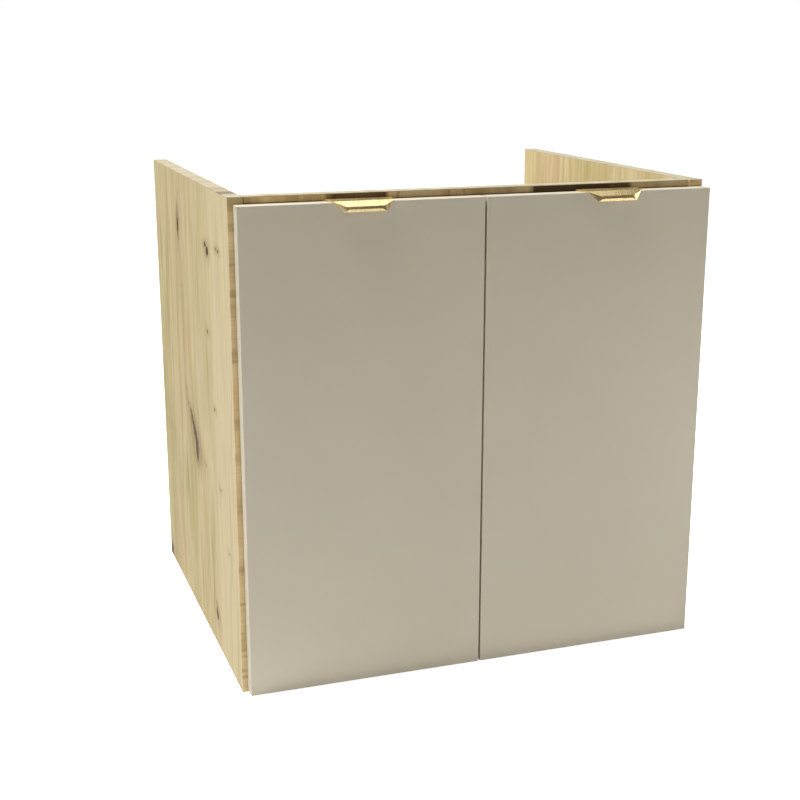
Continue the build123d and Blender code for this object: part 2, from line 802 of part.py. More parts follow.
def mounting_plate(side):
    """Base with a wing each side for its screws, and a raised core that the arm covers."""
    plane = Plane(origin=(0, 0, 0), x_dir=(0, 1, 0), z_dir=(1, 0, 0))
    core = (plate_line - plate_core_ahead, plate_line + plate_core_behind)
    wings = Pos(plate_line, 0) * SlotOverall(plate_screw_spacing + plate_wing, plate_wing, rotation=90)
    strip_width = 2 * (arm_near + plate_margin)
    strip = Pos(sum(core) / 2, 0) * RectangleRounded(core[1] - core[0], strip_width, plate_corner)
    core_top = plate_thickness + plate_core_height
    plate = extrude(plane * (wings + strip), amount=plate_thickness)
    plate += block((0, core_top), core, (-plate_core_half, plate_core_half))
    for y in adjust_lines:
        plate -= rod((plate_thickness, y, 0), (core_top + cut_past, y, 0), adjust_radius + hole_clearance)
    over = plate_thickness + cut_past
    for z in plate_screw_offsets:
        plate -= rod((-cut_past, plate_line, z), (over, plate_line, z), hinge_screw_radius + hole_clearance)
    return plate


def plate_screws(side):
    """Screws through the plate's wings into the side panel."""
    return [
        pan_head_screw(
            (plate_thickness, plate_line, z), (1, 0, 0), hinge_screw_length,
            hinge_screw_radius, hinge_screw_head_radius, plate_screw_head_height,
        )
        for z in plate_screw_offsets
    ]


def adjusting_screws(side):
    """One screw clamps the arm to the plate, the other shifts it sideways."""
    seat = plate_thickness + arm_rear_height
    length = arm_rear_height - adjust_tip_gap
    return [
        pan_head_screw(
            (seat, y, 0), (1, 0, 0), length, adjust_radius, adjust_head_radius, adjust_head_height
        )
        for y in adjust_lines
    ]


def at_hinge(shape, side, height):
    """Move a piece drawn for the left hinge to its place on either side."""
    placed = Pos(-inner_face, door_back, hinge_heights[height]) * shape
    return placed if side == "left" else mirror(placed, about=Plane.YZ)


hinge_pieces = {
    "cup": hinge_cup,
    "cup_pins": cup_pins,
    "outer_link": outer_link,
    "inner_link": inner_link,
    "arm": hinge_arm,
    "arm_pins": arm_pins,
    "plate": mounting_plate,
}
hinge_screw_sets = {
    "cup_screws": cup_screws,
    "plate_screws": plate_screws,
    "adjusting_screws": adjusting_screws,
}


# ---------------------------------------------------------------- all pieces by name
def solids_of(shapes):
    shapes = shapes if isinstance(shapes, list) else [shapes]
    return [solid for shape in shapes for solid in shape.solids()]


def all_pieces():
    pieces = {
        "floor_panel": floor_panel(),
        "front_rail": front_rail(),
        "rear_rail_upper": rear_rail_upper(),
        "rear_rail_lower": rear_rail_lower(),
        "floor_front_band": floor_front_band(),
        "front_rail_top_band": front_rail_top_band(),
        "connecting_bolts": connecting_bolts(),
        "cam_locks": cam_locks(),
        "wood_dowels": wood_dowels(),
    }
    for side in sides:
        pieces[f"side_panel_{side}"] = side_panel(side)
        pieces[f"side_front_band_{side}"] = side_front_band(side)
        pieces[f"side_top_band_{side}"] = side_top_band(side)
        pieces[f"door_panel_{side}"] = door_panel(side)
        pieces[f"door_edge_bands_{side}"] = door_edge_bands(side)
        pieces[f"door_bumpers_{side}"] = door_bumpers(side)
        pieces[f"edge_pull_{side}"] = edge_pull(side)
        pieces[f"pull_screws_{side}"] = pull_screws(side)
        for height in hinge_heights:
            for name, make in hinge_pieces.items():
                drawn = solids_of(make(side))
                placed = [at_hinge(solid, side, height) for solid in drawn]
                pieces[f"hinge_{side}_{height}_{name}"] = placed
        for name, make in hinge_screw_sets.items():
            drawn = solids_of(make(side))
            placed = [at_hinge(solid, side, height) for height in hinge_heights for solid in drawn]
            pieces[f"hinge_{side}_{name}"] = placed
    return pieces


os.makedirs("parts", exist_ok=True)
for node, shapes in all_pieces().items():
    solids = solids_of(shapes)
    export_step(solids[0] if len(solids) == 1 else Compound(children=solids), f"parts/{node}.step")
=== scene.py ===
"""Looks of the sink base cabinet: knotty oak boards, matt cashmere doors, brushed gold edge pulls."""
import math

import bmesh
import bpy
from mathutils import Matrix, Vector


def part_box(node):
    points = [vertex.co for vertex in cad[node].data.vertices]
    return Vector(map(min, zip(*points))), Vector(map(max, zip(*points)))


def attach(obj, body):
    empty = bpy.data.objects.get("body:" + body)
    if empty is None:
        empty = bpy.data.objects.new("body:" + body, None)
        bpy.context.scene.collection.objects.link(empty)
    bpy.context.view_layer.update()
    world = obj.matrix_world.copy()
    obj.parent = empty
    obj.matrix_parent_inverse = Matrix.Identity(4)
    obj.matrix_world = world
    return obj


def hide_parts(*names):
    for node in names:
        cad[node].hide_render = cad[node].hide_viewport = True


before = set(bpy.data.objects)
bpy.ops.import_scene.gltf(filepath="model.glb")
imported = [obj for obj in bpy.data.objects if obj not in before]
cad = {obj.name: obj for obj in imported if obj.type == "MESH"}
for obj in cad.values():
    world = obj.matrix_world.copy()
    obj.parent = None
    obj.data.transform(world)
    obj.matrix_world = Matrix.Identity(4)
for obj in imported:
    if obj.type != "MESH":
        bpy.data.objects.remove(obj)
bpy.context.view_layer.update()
sides = ("left", "right")
heights = ("upper", "lower")

# ---------------------------------------------------------------- sizes in metres
film_thickness = 0.0003         # decor film on a board's faces; its core shows beyond it
board_relief = 0.00012          # heights of the fine relief of each finish
band_relief = 0.0001
flute_relief = 0.00008
door_relief = 0.00003
polish_relief = 0.00002
merge_distance = 1e-6
metal_break = 0.00022           # broken edge of pressed metal parts
pull_break = 0.0004             # broken edge of the gold pulls
bumper_dome = 0.0012            # rounding of the soft pads
crisp_edge = math.radians(32.0)  # edges that turn more than this stay crisp or are broken
flat_joint = math.radians(1.5)  # edges that turn less than this are merged away
pan_head_height = 0.0018
cup_head_height = 0.0012
adjuster_head_height = 0.0016
countersunk_height = 0.0020
recess_reach = 0.0018           # cross recess of the small screws
recess_half_width = 0.0004
recess_depth = 0.0009
thread_pitch = 0.0022
thread_depth = 0.00045
plate_screw_shank = 0.00175     # shank radii
adjuster_shank = 0.0020
cup_screw_shank = 0.00175
pull_screw_shank = 0.0015


def place(node):
    """Lowest corner, highest corner and middle of a CAD node."""
    low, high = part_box(node)
    return low, high, (low + high) / 2


# ---------------------------------------------------------------- node trees
noise_range = (0.3, 0.7)        # nearly all of a noise lies between these


class Graph:
    """A shader or geometry node tree, grown one node at a time."""

    def __init__(self, tree):
        self.tree = tree

    def add(self, kind, inputs=None, **settings):
        node = self.tree.nodes.new(kind)
        for name, value in settings.items():
            setattr(node, name, value)
        for name, value in (inputs or {}).items():
            self.feed(node.inputs[name], value)
        return node

    def feed(self, socket, value):
        if isinstance(value, bpy.types.NodeSocket):
            self.tree.links.new(value, socket)
        else:
            socket.default_value = value

    def math(self, operation, *values, clamp=False):
        node = self.add("ShaderNodeMath", operation=operation, use_clamp=clamp)
        for socket, value in zip(node.inputs, values):
            self.feed(socket, value)
        return node.outputs[0]

    def vector(self, x, y, z):
        return self.add("ShaderNodeCombineXYZ", {"X": x, "Y": y, "Z": z}).outputs[0]

    def noise(self, vector, detail=2.0, roughness=0.5, scale=1.0):
        inputs = {"Vector": vector, "Scale": scale, "Detail": detail, "Roughness": roughness}
        return self.add("ShaderNodeTexNoise", inputs, normalize=True).outputs[0]

    def remap(self, value, low, high, to_low=0.0, to_high=1.0, smooth=False):
        inputs = {"Value": value, "From Min": low, "From Max": high, "To Min": to_low, "To Max": to_high}
        kind = "SMOOTHSTEP" if smooth else "LINEAR"
        return self.add("ShaderNodeMapRange", inputs, interpolation_type=kind).outputs[0]

    def ramp(self, factor, stops):
        node = self.add("ShaderNodeValToRGB", {"Fac": factor})
        elements = node.color_ramp.elements
        while len(elements) < len(stops):
            elements.new(0.5)
        for element, (position, colour) in zip(elements, stops):
            element.position = position
            element.color = (*colour, 1.0)
        return node.outputs[0]

    def spread(self, noise, low, high):
        """The usual range of a noise, stretched between two values."""
        return self.remap(noise, *noise_range, low, high)

    def two_tone(self, noise, first, second):
        """The usual range of a noise, as a run from one colour to another."""
        return self.ramp(noise, list(zip(noise_range, (first, second))))

    def mix(self, factor, first, second, blend="MIX"):
        node = self.add("ShaderNodeMix", data_type="RGBA", blend_type=blend)
        self.feed(node.inputs["Factor"], factor)
        for name, value in (("A", first), ("B", second)):
            socket = next(s for s in node.inputs if s.name == name and s.type == "RGBA")
            self.feed(socket, value if isinstance(value, bpy.types.NodeSocket) else (*value, 1.0))
        return next(s for s in node.outputs if s.type == "RGBA")

    def shade(self, colour, amount):
        """A colour made darker or lighter by a value around one."""
        grey = self.vector(amount, amount, amount)
        return self.mix(1.0, colour, grey, "MULTIPLY")


class Finish(Graph):
    """A material with one principled shader, on object coordinates in metres."""

    def __init__(self, name, **constants):
        self.material = bpy.data.materials.new(name)
        self.material.use_nodes = True
        super().__init__(self.material.node_tree)
        self.tree.nodes.clear()
        self.shader = self.add("ShaderNodeBsdfPrincipled")
        output = self.add("ShaderNodeOutputMaterial", {"Surface": self.shader.outputs[0]})
        output.is_active_output = True
        for name, value in constants.items():
            self.shader.inputs[name.replace("_", " ")].default_value = value
        self.place = self.add("ShaderNodeTexCoord").outputs["Object"]
        axes = self.add("ShaderNodeSeparateXYZ", {"Vector": self.place}).outputs
        self.axis = {"X": axes[0], "Y": axes[1], "Z": axes[2]}

    def stretched(self, scale):
        """Object coordinates with a scale of their own on each axis."""
        return self.add("ShaderNodeMapping", {"Vector": self.place, "Scale": scale}).outputs[0]

    def colour(self, value):
        self.feed(self.shader.inputs["Base Color"], value)

    def rough(self, value):
        self.feed(self.shader.inputs["Roughness"], value)

    def bump(self, height, distance, strength=1.0):
        node = self.add("ShaderNodeBump", {"Height": height, "Distance": distance, "Strength": strength})
        self.feed(self.shader.inputs["Normal"], node.outputs[0])


def dress(obj, material):
    """A piece gets its one material."""
    obj.data.materials.clear()
    obj.data.materials.append(material)


# ---------------------------------------------------------------- knotty oak
oak_lit_front = (0.61, 0.512, 0.318)  # painted light: the front of the left side drawn paler, where the light falls strongest
oak_pale = (0.58, 0.482, 0.285)
oak_cream = (0.515, 0.418, 0.226)
oak_honey = (0.45, 0.348, 0.170)
oak_olive = (0.425, 0.355, 0.162)
oak_rose = (0.50, 0.368, 0.218)
oak_line = (0.30, 0.21, 0.098)
oak_knot = (0.048, 0.018, 0.004)
oak_halo = (0.27, 0.175, 0.088)

# Noise layers of the oak figure are (cells per metre across, per metre along, offset, detail).
oak_layers = {
    "crumble": (150, 90, 3.0, 3.0),
    "ragged": (130, 80, 5.0, 2.0),
    "wander": (4, 1.5, 7.0, 2.0),
    "ripple": (16, 9, 11.0, 2.0),
    "streaks": (36, 3.4, 0.0, 3.0),
    "olive": (13, 2.6, 19.0, 2.0),
    "rose": (9, 3.0, 23.0, 2.0),
    "ring_phase": (9, 1.3, 31.0, 2.0),
    "ring_patch": (11, 3.2, 37.0, 2.0),
    "fibres": (230, 7.0, 41.0, 3.0),
    "hairs": (800, 20, 42.0, 2.0),
    "pores": (1500, 42, 43.0, 2.0),
    "pore_patch": (12, 4, 47.0, 2.0),
}
ragged_reach = 0.011            # how far each layer shifts the figure across the grain, in metres
wander_reach = 0.034
ripple_reach = 0.0035
knot_push = -0.75               # share of a mark's push that bends the grain round it
rings_per_metre = 34.0
ring_wander = 8.0               # rings by which the ring_phase layer shifts the even ones
olive_strength = 0.65
rose_strength = 0.55
ring_strength = 0.22
pore_strength = 0.38
stain_strength = 0.46
dark_strength = 0.94
crumble_strength = 1.7          # how much the crumble layer eats into a mark's core
hollow_depth = 1.5              # how deep knots and pores lie, against the height of the fibres
stain_spread_across = 0.12      # smaller numbers spread the stain further from the core
stain_spread_along = 0.20

# Values of a layer between which its patches fade in.
olive_fade = (0.50, 0.68)
rose_fade = (0.53, 0.70)
ring_fade = (0.55, 1.0)
ring_patch_fade = (0.44, 0.64)
pore_fade = (0.64, 0.74)
pore_patch_fade = (0.4, 0.6)
dark_fade = (0.34, 0.54)
core_fade = (0.20, 0.36)

layers_per_metre = 40.0         # change of the figure through a board's thickness
board_roughness = 0.52
rail_roughness = 0.46
relief_roughness = 0.12         # added where the fibres stand high


def wood_mark_group():
    """One knot or crack: adds its core, its stained surroundings and its push on the grain."""
    group = bpy.data.node_groups.new("wood_mark", "ShaderNodeTree")
    face = group.interface
    for name in (
        "Across", "Along", "Core", "Stain", "Push",
        "Mark Across", "Mark Along", "Half Width", "Half Length", "Slope", "Strength",
    ):
        face.new_socket(name, in_out="INPUT", socket_type="NodeSocketFloat")
    for name in ("Core", "Stain", "Push"):
        face.new_socket(name, in_out="OUTPUT", socket_type="NodeSocketFloat")
    g = Graph(group)
    given = g.add("NodeGroupInput").outputs
    along = g.math("SUBTRACT", given["Along"], given["Mark Along"])
    lean = g.math("MULTIPLY", along, given["Slope"])
    across = g.math("SUBTRACT", g.math("SUBTRACT", given["Across"], given["Mark Across"]), lean)
    wide = g.math("POWER", g.math("DIVIDE", across, given["Half Width"]), 2.0)
    long = g.math("POWER", g.math("DIVIDE", along, given["Half Length"]), 2.0)
    core = g.math("MULTIPLY", bell(g, g.math("ADD", wide, long)), given["Strength"])
    spread_along = g.math("MULTIPLY", long, stain_spread_along)
    surroundings = g.math("MULTIPLY_ADD", wide, stain_spread_across, spread_along)
    stain = g.math("MULTIPLY", bell(g, surroundings), given["Strength"])
    out = g.add("NodeGroupOutput").inputs
    g.feed(out["Core"], g.math("ADD", given["Core"], core))
    g.feed(out["Stain"], g.math("ADD", given["Stain"], stain))
    g.feed(out["Push"], g.math("MULTIPLY_ADD", stain, across, given["Push"]))
    return group


def bell(g, squared):
    """One at the middle, falling off as the squared distance grows."""
    return g.math("POWER", math.e, g.math("MULTIPLY", squared, -1.0))


wood_mark = wood_mark_group()


def mark_fields(f, across, along, marks):
    """Cores, stained surroundings and grain push of all the marks on one face."""
    core, stain, push = 0.0, 0.0, 0.0
    for mark_across, mark_along, half_width, half_length, slope, strength in marks:
        node = f.add("ShaderNodeGroup", node_tree=wood_mark)
        values = {
            "Across": across, "Along": along, "Core": core, "Stain": stain, "Push": push,
            "Mark Across": mark_across, "Mark Along": mark_along, "Half Width": half_width,
            "Half Length": half_length, "Slope": slope, "Strength": strength,
        }
        for name, value in values.items():
            f.feed(node.inputs[name], value)
        core, stain, push = node.outputs["Core"], node.outputs["Stain"], node.outputs["Push"]
    return core, stain, push


def oak_figure(f, across, along, depth, marks, seed, lit_front=None):
    """Colour and relief of the oak decor: streaks, growth lines, fibres, pores, knots and cracks."""
    layer = f.math("MULTIPLY_ADD", depth, layers_per_metre, seed)

    def grain(source, name):
        per_metre_across, per_metre_along, offset, detail = oak_layers[name]
        wide = f.math("MULTIPLY", source, per_metre_across)
        long = f.math("MULTIPLY", along, per_metre_along)
        return f.noise(f.vector(wide, long, f.math("ADD", layer, offset)), detail)

    def sway(name, reach):
        return f.math("MULTIPLY", f.math("SUBTRACT", grain(across, name), 0.5), reach)

    def tint(colour, mask, strength, other):
        return f.mix(f.math("MULTIPLY", mask, strength), colour, other)

    crumble = grain(across, "crumble")
    torn = f.math("ADD", across, sway("ragged", ragged_reach))
    core, stain, push = mark_fields(f, torn, along, marks)
    flow = f.math("ADD", across, sway("wander", wander_reach))
    flow = f.math("ADD", flow, sway("ripple", ripple_reach))
    flow = f.math("MULTIPLY_ADD", push, knot_push, flow)

    streaks = [(0.30, oak_honey), (0.43, oak_cream), (0.56, oak_pale), (0.70, oak_olive)]
    colour = f.ramp(grain(flow, "streaks"), streaks)
    olive = f.remap(grain(flow, "olive"), *olive_fade, smooth=True)
    colour = tint(colour, olive, olive_strength, oak_olive)
    rose = f.remap(grain(across, "rose"), *rose_fade, smooth=True)
    colour = tint(colour, rose, rose_strength, oak_rose)
    # painted light: paler towards the front edge, where the light falls strongest
    if lit_front:
        inner, outer, strength = lit_front
        colour = tint(colour, f.remap(flow, inner, outer, smooth=True), strength, oak_lit_front)

    even_rings = f.math("MULTIPLY", flow, rings_per_metre)
    ring_phase = f.math("MULTIPLY_ADD", grain(flow, "ring_phase"), ring_wander, even_rings)
    ring = f.math("SINE", f.math("MULTIPLY", ring_phase, math.tau))
    ring_patch = f.remap(grain(across, "ring_patch"), *ring_patch_fade, smooth=True)
    ring_line = f.math("MULTIPLY", f.remap(ring, *ring_fade, smooth=True), ring_patch)
    colour = tint(colour, ring_line, ring_strength, oak_line)

    fibres = grain(flow, "fibres")
    colour = f.shade(colour, f.spread(fibres, 0.90, 1.07))
    colour = f.shade(colour, f.spread(grain(flow, "hairs"), 0.95, 1.04))
    pores = f.remap(grain(flow, "pores"), *pore_fade)
    pores = f.math("MULTIPLY", pores, f.remap(grain(across, "pore_patch"), *pore_patch_fade))
    colour = tint(colour, pores, pore_strength, oak_line)

    stain = f.math("MULTIPLY", f.math("MINIMUM", stain, 1.0), f.spread(fibres, 1.5, 0.5))
    colour = f.mix(f.math("MULTIPLY", stain, stain_strength, clamp=True), colour, oak_halo)
    dark = f.math("MULTIPLY_ADD", f.math("SUBTRACT", crumble, 0.5), crumble_strength, core)
    dark = f.math("MULTIPLY", f.remap(dark, *dark_fade, smooth=True), f.remap(core, *core_fade))
    colour = tint(colour, dark, dark_strength, oak_knot)
    hollows = f.math("MULTIPLY", f.math("MAXIMUM", dark, pores), hollow_depth)
    return colour, f.math("SUBTRACT", fibres, hollows)


chips_per_metre = 420.0
crumbs_per_metre = 1500.0
chip_dark = (0.20, 0.13, 0.07)
chip_brown = (0.46, 0.31, 0.17)
chip_tan = (0.60, 0.44, 0.27)
chip_pale = (0.74, 0.60, 0.41)


def chipboard_core(f):
    """Pressed wood chips, as sawn edges and bores show them."""
    cells = {"Vector": f.place, "Scale": chips_per_metre, "Randomness": 1.0}
    chips = f.add("ShaderNodeTexVoronoi", cells)
    tone = f.add("ShaderNodeSeparateXYZ", {"Vector": chips.outputs["Color"]}).outputs[0]
    colour = f.ramp(tone, [(0.0, chip_dark), (0.25, chip_brown), (0.7, chip_tan), (1.0, chip_pale)])
    fine = f.noise(f.place, 3.0, scale=crumbs_per_metre)
    return f.shade(colour, f.spread(fine, 0.8, 1.1)), fine


def on_film(f, node, face):
    """One where the surface is a board's broad face, and zero on its sawn edges and in its bores."""
    low, high, _ = place(node)
    index = "XYZ".index(face)
    inside_low = f.math("SUBTRACT", f.axis[face], low[index] + film_thickness)
    inside_high = f.math("SUBTRACT", high[index] - film_thickness, f.axis[face])
    return f.math("LESS_THAN", f.math("MINIMUM", inside_low, inside_high), 0.0)


def oak_board(node, across, along, face, marks=(), seed=0.0, tone=1.0, lit_front=None):
    """Knotty oak film over a chipboard core, with the grain along one axis."""
    f = Finish(f"knotty_oak_{node}", Specular_IOR_Level=0.035)
    figure, relief = oak_figure(f, f.axis[across], f.axis[along], f.axis[face], marks, seed, lit_front)
    core, crumbs = chipboard_core(f)
    film = on_film(f, node, face)
    f.colour(f.shade(f.mix(film, core, figure), tone))
    f.rough(f.math("MULTIPLY_ADD", relief, relief_roughness, board_roughness))
    height = f.add("ShaderNodeMix", {"Factor": film}, data_type="FLOAT")
    f.feed(height.inputs[2], crumbs)
    f.feed(height.inputs[3], relief)
    f.bump(height.outputs[0], board_relief, 0.6)
    dress(cad[node], f.material)


# Grain seen across an edge, in cells per metre along its run.
wobbles_per_metre = 55.0
segments_per_metre = 34.0
bars_per_metre = 95.0
hairlines_per_metre = 420.0
wobble_reach = 0.004
cells_across = 0.12             # cells across the edge for each one along it
heart_waves_per_metre = 70.0
heart_wave_reach = 0.02
heart_layers_per_metre = 30.0   # change of the waves with the depth below the strip in sight
heart_stripes_per_metre = 130.0
bar_fade = (0.60, 0.70)
stripe_fade = (0.62, 0.72)
stripe_keeps = 0.65             # share of the heartwood's darkness left in its pale stripes


def cross_figure(f, run, across, seed, light, mid, dark, line_strength):
    """Grain seen across an edge: soft segments along its run with narrow darker bars between them."""
    wobble = f.math("SUBTRACT", f.noise(f.place, 2.0, scale=wobbles_per_metre), 0.5)
    skew = f.math("MULTIPLY_ADD", wobble, wobble_reach, run)

    def lines(per_metre, offset=0.0, detail=2.0):
        wide = f.math("MULTIPLY", across, per_metre * cells_across)
        return f.noise(f.vector(f.math("MULTIPLY", skew, per_metre), wide, seed + offset), detail)

    colour = f.ramp(lines(segments_per_metre), [(0.34, dark), (0.47, mid), (0.62, light)])
    bar = f.remap(lines(bars_per_metre, offset=9.0, detail=1.0), *bar_fade, smooth=True)
    colour = f.mix(f.math("MULTIPLY", bar, line_strength), colour, tuple(0.5 * c for c in dark))
    fine = lines(hairlines_per_metre, offset=17.0, detail=3.0)
    return f.shade(colour, f.spread(fine, 0.90, 1.08)), fine


def oak_band(node, run, across, colours, seed, zones=()):
    """Edge band whose figure is drawn across its length, as short bars of uneven width."""
    f = Finish(f"oak_{node}", Specular_IOR_Level=0.35, Roughness=0.5)
    colour, fine = cross_figure(f, f.axis[run], f.axis[across], seed, *colours)
    if zones:
        colour = f.mix(heartwood_and_shade(f, f.axis[run], zones, seed + 3.0), colour, dark_wood_and_shade)
    f.colour(colour)
    f.bump(fine, band_relief, 0.5)
    dress(cad[node], f.material)


def heartwood_and_shade(f, run, zones, seed, narrowing=0.0, depth=0.0):
    """How dark the heartwood and the painted shade are along a run: ragged stretches that close with depth.
    """
    waves = f.math("MULTIPLY", run, heart_waves_per_metre)
    wave = f.noise(f.vector(waves, seed, f.math("MULTIPLY", depth, heart_layers_per_metre)))
    ragged = f.math("MULTIPLY", f.math("SUBTRACT", wave, 0.5), heart_wave_reach)
    at = f.math("ADD", run, ragged)
    total = 0.0
    for start, end, fade, strength in zones:
        rise = f.remap(f.math("SUBTRACT", at, narrowing), start - fade, start + fade, smooth=True)
        fall = f.remap(f.math("ADD", at, narrowing), end - fade, end + fade, 1.0, 0.0, smooth=True)
        total = f.math("MULTIPLY_ADD", f.math("MULTIPLY", rise, fall), strength, total)
    stripes = f.math("MULTIPLY", run, heart_stripes_per_metre)
    stripes = f.noise(f.vector(stripes, seed + 5.0, 0.0), 2.0)
    paler = f.remap(stripes, *stripe_fade, 1.0, stripe_keeps, smooth=True)
    return f.math("MULTIPLY", total, paler, clamp=True)


def rail_face():
    """The front rail: brown bars of upright grain and dark heartwood above, with painted shade behind the
    pulls, at the joint with the left side and in a line just above the doors; plain oak below.
    """
    node = "front_rail"
    f = Finish("knotty_oak_front_rail", Specular_IOR_Level=0.15)
    figure, relief = oak_figure(f, f.axis["X"], f.axis["Z"], f.axis["Y"], (), rail_seed)
    _, _, middle = place(node)
    bars, fine = cross_figure(f, f.axis["X"], f.axis["Z"], rail_seed + 3.0, *rail_colours)
    depth = f.math("MAXIMUM", f.math("SUBTRACT", rail_seen_low, f.axis["Z"]), 0.0)
    narrowing = f.math("MULTIPLY", depth, rail_heart_closing)
    # dark heartwood, with painted shade behind the pulls and at the joint with the left side
    heart_and_shade = heartwood_and_shade(f, f.axis["X"], rail_heartwood_and_shade, rail_seed + 6.0, narrowing, depth)
    bars = f.mix(heart_and_shade, bars, dark_wood_and_shade)
    # painted shadow of the gap behind the door tops, as a dark line along the rail
    gap_shadow = f.remap(f.axis["Z"], rail_shadow_low, rail_shadow_high, rail_shadow_strength, 0.0, smooth=True)
    gap_shadow = f.math("MULTIPLY", gap_shadow, f.remap(f.axis["Z"], rail_shadow_end, rail_seen_low))
    bars = f.mix(gap_shadow, bars, dark_wood_and_shade)
    front = f.math("LESS_THAN", f.axis["Y"], middle.y)
    front = f.math("MULTIPLY", front, f.remap(f.axis["Z"], rail_plain_high, rail_seen_low, smooth=True))
    core, _ = chipboard_core(f)
    film = on_film(f, node, "Y")
    f.colour(f.mix(film, core, f.mix(front, figure, bars)))
    f.rough(f.math("MULTIPLY_ADD", relief, relief_roughness, rail_roughness))
    f.bump(fine, band_relief, 0.5)
    dress(cad[node], f.material)


# Marks are (across, along, half width, half length, slope, strength) on a face, in metres.
left_side_marks = [
    (0.074, 0.531, 0.0060, 0.0120, -0.10, 0.95),
    (0.071, 0.555, 0.0030, 0.0160, -0.10, 0.30),
    (0.070, 0.500, 0.0050, 0.0260, 0.05, 0.34),
    (0.066, 0.430, 0.0048, 0.0500, 0.06, 0.30),
    (0.062, 0.355, 0.0040, 0.0400, 0.06, 0.24),
    (-0.1235, 0.521, 0.0072, 0.0070, -0.30, 0.95),
    (-0.112, 0.529, 0.0050, 0.0035, -0.30, 0.75),
    (-0.187, 0.531, 0.0060, 0.0030, 0.0, 0.62),
    (-0.174, 0.532, 0.0040, 0.0022, 0.0, 0.45),
    (-0.108, 0.420, 0.0055, 0.0036, 0.2, 0.75),
    (-0.138, 0.328, 0.0050, 0.0030, 0.0, 0.75),
    (-0.159, 0.230, 0.0050, 0.0030, 0.0, 0.68),
    (-0.196, 0.160, 0.0050, 0.0030, 0.0, 0.55),
    (0.054, 0.312, 0.0050, 0.0110, 0.4, 0.36),
    (0.046, 0.290, 0.0060, 0.0110, 0.6, 0.38),
    (0.027, 0.283, 0.0060, 0.0070, 1.0, 0.62),
    (0.015, 0.272, 0.0080, 0.0095, 0.8, 0.72),
    (0.001, 0.259, 0.0110, 0.0110, 0.6, 0.80),
    (-0.009, 0.245, 0.0110, 0.0120, 0.3, 0.95),
    (-0.008, 0.230, 0.0095, 0.0080, 0.0, 0.72),
    (-0.066, 0.236, 0.0070, 0.0080, 0.5, 0.36),
    (-0.052, 0.226, 0.0050, 0.0090, 0.5, 0.22),
    (0.178, 0.220, 0.0060, 0.0030, 0.0, 0.34),
    (-0.1085, 0.044, 0.0065, 0.0075, 0.4, 1.0),
    (-0.103, 0.060, 0.0030, 0.0110, 0.4, 0.36),
    (0.236, 0.010, 0.0110, 0.0130, 0.0, 0.95),
]
right_side_marks = [
    (0.110, 0.440, 0.0070, 0.0130, 0.2, 0.95),
    (0.104, 0.395, 0.0045, 0.0450, 0.1, 0.30),
    (-0.060, 0.330, 0.0075, 0.0085, 0.0, 0.95),
    (-0.150, 0.165, 0.0065, 0.0140, -0.5, 0.95),
    (-0.140, 0.140, 0.0070, 0.0120, -0.7, 0.90),
    (-0.131, 0.122, 0.0050, 0.0130, -0.4, 0.60),
    (0.170, 0.190, 0.0060, 0.0040, 0.0, 0.75),
    (0.020, 0.470, 0.0050, 0.0030, 0.0, 0.70),
    (-0.190, 0.420, 0.0050, 0.0030, 0.0, 0.62),
]
floor_marks = [
    (0.090, -0.120, 0.0070, 0.0110, 0.2, 0.95),
    (0.085, -0.160, 0.0040, 0.0350, 0.1, 0.28),
    (-0.080, 0.140, 0.0060, 0.0150, 0.5, 0.90),
    (-0.089, 0.165, 0.0050, 0.0140, 0.4, 0.60),
    (0.010, -0.010, 0.0050, 0.0034, 0.0, 0.70),
]
rail_marks = [(0.452, 0.110, 0.0060, 0.0080, 0.1, 0.9), (0.070, -0.140, 0.0065, 0.0090, 0.1, 0.95)]

# painted light on the front of the left side
painted_light_front = (-0.105, -0.150, 0.92)  # where it begins, where it is full, and its strength
# painted light: the right side drawn a third brighter, standing in for stronger light from the right
right_side_painted_light = 1.33
oak_board("side_panel_left", "Y", "Z", "X", left_side_marks, seed=2.0, lit_front=painted_light_front)
oak_board("side_panel_right", "Y", "Z", "X", right_side_marks, seed=14.0, tone=right_side_painted_light)
oak_board("floor_panel", "Y", "X", "Z", floor_marks, seed=27.0)
oak_board("rear_rail_upper", "Z", "X", "Y", rail_marks, seed=45.0)
oak_board("rear_rail_lower", "Z", "X", "Y", rail_marks, seed=53.0)

# Stretches of dark heartwood, and on the rail painted shade, along a run are (start, end, fade, strength).
top_streaks = [(-0.217, -0.188, 0.007, 0.62), (-0.170, -0.140, 0.010, 0.16)]
rail_heartwood_and_shade = [
    # painted shadow where the rail meets the left side
    (-0.2840, -0.2808, 0.0004, 0.70),
    # behind the left pull: dark heartwood and painted shade of the pull
    (-0.185, -0.112, 0.005, 0.86),
    (-0.112, 0.300, 0.020, 0.30),
    (0.015, 0.045, 0.010, 0.18),
    # the next two stretches lie behind the right pull: dark heartwood and painted shade of the pull
    (0.070, 0.172, 0.006, 0.80),
    (0.172, 0.203, 0.008, 0.62),
]
rail_shadow_low = 0.5918          # painted shadow: a dark line along the rail just above the doors, where the gap behind the door tops lies in shade
rail_shadow_high = 0.5934
rail_shadow_strength = 0.62
rail_seen_low = 0.5895          # below this the doors hide the rail, and its figure turns plain
rail_shadow_end = rail_seen_low - 0.001
rail_plain_high = 0.530
rail_heart_closing = 1.3        # metres off each end of a dark stretch, per metre of depth
rail_light = (0.90, 0.69, 0.38)
rail_brown = (0.76, 0.56, 0.28)
rail_umber = (0.58, 0.42, 0.195)
rail_bars = 0.55
rail_colours = (rail_light, rail_brown, rail_umber, rail_bars)
rail_seed = 33.0
# near-black of dark heartwood, also the colour of the painted shade on the rail
dark_wood_and_shade = (0.088, 0.053, 0.019)
rail_face()

